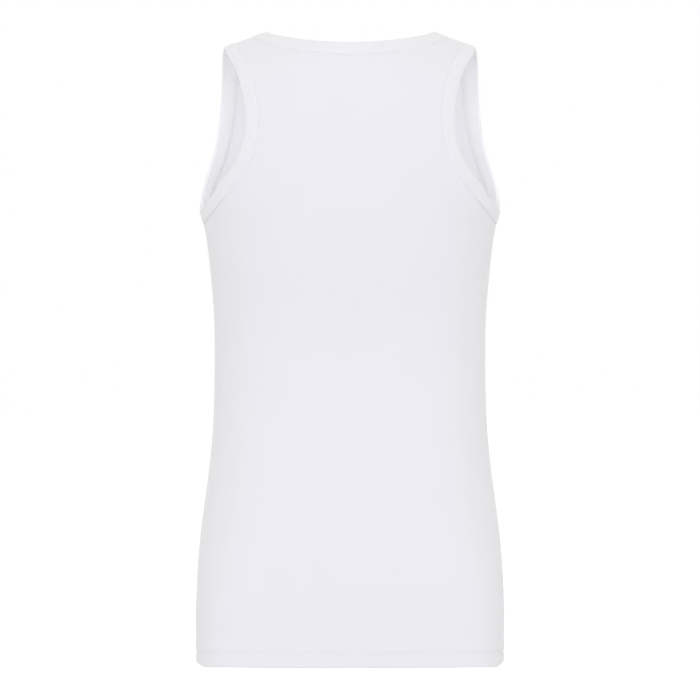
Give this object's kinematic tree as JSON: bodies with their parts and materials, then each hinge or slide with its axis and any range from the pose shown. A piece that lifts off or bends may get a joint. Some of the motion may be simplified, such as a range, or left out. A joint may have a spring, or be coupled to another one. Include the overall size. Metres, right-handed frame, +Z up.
{
  "type": "tank top",
  "caption": "Sleeveless fitted jersey top with scooped neck, cut-in armholes, bound edges and a turned-up hem, filled out as if worn.",
  "frame": {"origin": "midway between the two shoulder straps, level with the underside of their middles, where the wearer's shoulders carry the garment", "axes": "+Z up towards the neck, +Y towards the front of the garment, +X towards the wearer's right"},
  "size_m": [0.3118, 0.2271, 0.6371],
  "materials": {
    "jersey": "fine white cotton jersey, matt with a faint sheen",
    "binding": "the same jersey, folded double",
    "thread": "white polyester sewing thread"
  },
  "bodies": {
    "root": {"front": "jersey", "back": "jersey", "neck_band": "binding", "armhole_band_right": "binding", "armhole_band_left": "binding"}
  },
  "joints": []
}
